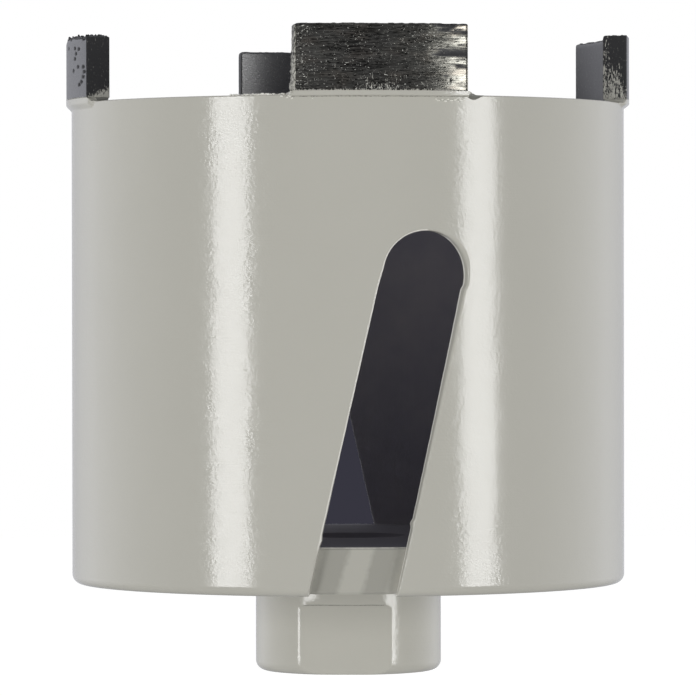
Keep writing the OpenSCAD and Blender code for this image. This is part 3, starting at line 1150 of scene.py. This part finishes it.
def foot_section(number, side):
    """Points of one section of a foot with its lumps, and the share of each that the paint left bare."""
    foot, end = FEET[number], 1 if side > 0 else 0
    past = max(0, abs(side) - SEGMENT_HALF) / foot.spills[end]
    share = (1 + math.cos(math.pi * past)) / 2
    proud = CUTTING_R - BARREL_R - WEAR[number].back * (min(abs(side), SEGMENT_HALF) / SEGMENT_HALF) ** 2
    skin = 0.07 * math.sin(math.pi * past) if foot.bare == "outside" and end == 1 else 0.0
    profile = np.array(foot_profile(share, foot, proud, skin))
    radius, height = profile.T
    lump = np.array([wave(side, r, h + 57 * number, 0.8) for r, h in profile])
    rough = np.array([wave(side, r, h + 31 * number, 0.32) for r, h in profile])
    outward = np.where(radius > (BARREL_R + BORE_R) / 2, 1, -1)
    radius = radius + outward * 0.035 * share * np.minimum(lump, 0)
    near_end = np.clip((abs(side) - SEGMENT_HALF + 0.3) / 0.6, 0, 1) * min(1, 4 * share)
    near_end = np.where(height > RIM_Z - 0.3, near_end, 0)
    radius = radius + outward * foot.lumps[end] * near_end * rough
    height = height + foot.lumps[end] * near_end * np.where(height > RIM_Z, rough, 0)
    shown = outward < 0
    if foot.bare == "outside":
        shown = (outward > 0) & (height < RIM_Z + 0.12 * (SEGMENT_HALF + 2.4 - side)) & (height > RIM_Z - 0.9)
    at_high_end = foot.bare != "" and side > SEGMENT_HALF + 0.1
    bare = np.where(shown & at_high_end, 1.0, 0.0)
    if foot.bare == "outside":
        # Painted shade: a dark line in the crease under the foot
        bare[CREASE] = np.maximum(bare[CREASE], 0.46 * share)
    return at_segment(number, np.full(len(profile), side), radius, height), bare


def build_foot(number, paint):
    """Plain metal foot and the weld that runs out on the barrel, with a spill past each end."""
    rows, bare = zip(*(foot_section(number, side) for side in foot_sides(FEET[number])))
    width = len(rows[0])
    points = [Vector(p) for p in np.concatenate(rows)]
    faces = ring_faces(0, len(rows), width)
    faces.append(tuple(range(width)))
    faces.append(tuple((len(rows) - 1) * width + c for c in reversed(range(width))))
    bare = np.concatenate(bare)
    if number == 1:
        for index, (side, height, radius) in enumerate(CRUMBS + rim_crumbs()):
            out = np.array([BARREL_R + 0.03 if height < -0.1 else BARREL_R - 0.25])
            middle = at_segment(number, np.array([side]), out, np.array([RIM_Z + height]))[0]
            add_crumb(points, faces, Vector(middle), radius, index)
    piece = add_piece(f"foot_{number}", points, faces, [f"segment_foot_{number}"], [paint],
                      sharp=math.radians(50))
    crumbs = np.ones(len(points) - len(bare))
    add_mask(piece, "bare", np.concatenate([bare, 0 * crumbs]))
    # Painted highlight: the crumbs of spatter are lightened with the edge mask
    add_mask(piece, "edge", np.concatenate([0 * bare, crumbs]))


# Camera and studio

CAMERA_Y, CAMERA_Z = -754.85, 53.36
CAMERA_DOWN, CAMERA_ROLL = 0.0086, -0.0014
FOCAL_PIXELS, PHOTO_PIXELS, SENSOR = 5174.6, 696, 36.0
SOFTBOX_AWAY, SOFTBOX_Z = 900.0, 50.0
# Each softbox: azimuth from the front, width and height seen from the bit, all in degrees, and power in watts
SOFTBOXES = {"left_softbox": (-48.1, 16.1, 22, 3.0), "right_softbox": (54.2, 15.4, 22, 2.75)}


def make_camera():
    data = bpy.data.cameras.new("camera")
    data.sensor_width = SENSOR
    data.lens = FOCAL_PIXELS * SENSOR / PHOTO_PIXELS
    camera = bpy.data.objects.new("camera", data)
    camera.location = (0, CAMERA_Y * MM, CAMERA_Z * MM)
    look = Euler((math.pi / 2 - CAMERA_DOWN, 0, 0)).to_matrix() @ Euler((0, 0, CAMERA_ROLL)).to_matrix()
    camera.rotation_euler = look.to_euler()
    bpy.context.scene.collection.objects.link(camera)
    bpy.context.scene.camera = camera


def make_softbox(name, azimuth, width, height, power):
    """Upright soft light at an azimuth from the front, turned to the bit; width and height are angles."""
    data = bpy.data.lights.new(name, "AREA")
    data.shape = "RECTANGLE"
    data.size = 2 * SOFTBOX_AWAY * MM * math.tan(math.radians(width / 2))
    data.size_y = 2 * SOFTBOX_AWAY * MM * math.tan(math.radians(height / 2))
    data.energy = power
    light = bpy.data.objects.new(name, data)
    turn = math.radians(azimuth)
    away = Vector((math.sin(turn), -math.cos(turn), 0))
    light.location = Vector((0, 0, SOFTBOX_Z * MM)) + away * SOFTBOX_AWAY * MM
    light.rotation_euler = away.to_track_quat("Z", "Y").to_euler()
    light.visible_camera = False
    bpy.context.scene.collection.objects.link(light)


# Plain light on the object from the world: all round, more from both sides, and up from below the floor
WORLD_FILL, WORLD_SIDES, WORLD_BELOW = 0.27, 0.16, 0.86
# Share of the light from below that the bit's own shadow leaves straight underneath, and of the backdrop that
# reflections show there
UNDER_LIGHT, UNDER_SEEN = 0.15, 0.25
WHITE = (1.0, 1.0, 1.0)
# The white backdrop as the object's reflections show it, a little cool
BACKDROP = (0.84, 0.85, 0.92)
# The room as the reflections show it, as shares of the backdrop: on the camera's side, at both sides behind
# the bit, and straight behind it
BEFORE, BESIDE, BEHIND = 0.33, 1.5, 0.75
# The photograph shows something dark through both slots: a small dark spot in the white backdrop, level
# behind the bit, which the barrel hides from the front apart from there and from its image in the plate
DARK_SPOT = Vector((0.0, 1.0, -0.0325)).normalized()
DARK_SPOT_HALF = math.radians(0.8)
DARK_SPOT_COLOUR = (0.038, 0.037, 0.051)


def make_world():
    """Plain light on the object, the white backdrop for the camera and the room that the reflections show."""
    world = bpy.data.worlds.new("studio")
    bpy.context.scene.world = world
    graph = Graph(world)
    rays = ("Is Camera Ray", "Is Glossy Ray", "Is Transmission Ray")
    camera, glossy, through = (graph.node("LightPath", output=ray) for ray in rays)
    direction = graph.node("TexCoord", output="Generated")
    side, back, rise = (graph.part(direction, axis) for axis in range(3))
    level = (side * side).fit(0.0, 1.0, WORLD_FILL, WORLD_FILL + WORLD_SIDES)
    below = rise.fit(-0.08, 0.0, 1.0, 0.0) * rise.fit(-0.75, -0.45, UNDER_LIGHT, 1.0)
    fill = graph.node("Background", {"Strength": level + below * WORLD_BELOW})
    mirrored = graph.node("CombineXYZ", {0: side, 1: back, 2: rise.math("ABSOLUTE") * -1.0})
    spot = graph.node("VectorMath", {0: mirrored, 1: DARK_SPOT}, "Value", operation="DOT_PRODUCT")
    in_spot = spot > math.cos(DARK_SPOT_HALF)
    colour = graph.blend(in_spot, graph.blend(camera, BACKDROP, WHITE), DARK_SPOT_COLOUR)
    room = back.fit(-0.5, 0.45, BEFORE, BESIDE) * back.fit(0.68, 0.93, 1.0, BEHIND / BESIDE)
    room = room * rise.fit(-0.5, -0.12, UNDER_SEEN, 1.0)
    white = graph.node("Background", {"Color": colour, "Strength": camera.between(room, 1.0)})
    seen = camera.math("MAXIMUM", glossy.math("MAXIMUM", through))
    graph.node("OutputWorld", {"Surface": graph.node("MixShader", {0: seen, 1: fill, 2: white})})


FLOOR_R = 430.0
# Of the floor's white in the camera, the share that the light makes and the share that it has anyway
FLOOR_LIT, FLOOR_OWN = 0.35, 0.92


def make_floor():
    """Pale round floor like a lit glass table: it shows the bit's shadow and lets light up from below."""
    material, graph = new_material("floor")
    lit = graph.node("BsdfDiffuse", {"Color": (FLOOR_LIT, FLOOR_LIT, FLOOR_LIT)})
    own = graph.node("Emission", {"Strength": FLOOR_OWN})
    both = graph.node("AddShader", {0: lit, 1: own})
    camera = graph.node("LightPath", output="Is Camera Ray")
    mix = graph.node("MixShader", {0: camera, 1: graph.node("BsdfTransparent"), 2: both})
    graph.node("OutputMaterial", {"Surface": mix})
    bpy.ops.mesh.primitive_circle_add(vertices=128, radius=FLOOR_R * MM, fill_type="NGON", location=(0, 0, 0))
    floor = bpy.context.object
    floor.name = "floor"
    floor.data.materials.append(material)


def main():
    scene = bpy.context.scene
    scene.view_settings.view_transform = "Standard"
    make_camera()
    make_world()
    make_floor()
    for name, settings in SOFTBOXES.items():
        make_softbox(name, *settings)
    paint, metal = make_paint(), make_diamond_metal()
    build_barrel(paint, make_inside("bore_steel", INSIDE, INSIDE_LIGHT))
    build_hub(paint, make_inside("thread_steel", PLATE_INSIDE, THREAD_LIGHT, 0.7, 0.1))
    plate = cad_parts["back_plate"]
    plate.data.materials.clear()
    plate.data.materials.append(make_plate_paint_and_shade())
    for number in range(1, SEGMENT_COUNT + 1):
        build_segment(number, metal)
        build_foot(number, paint)


main()
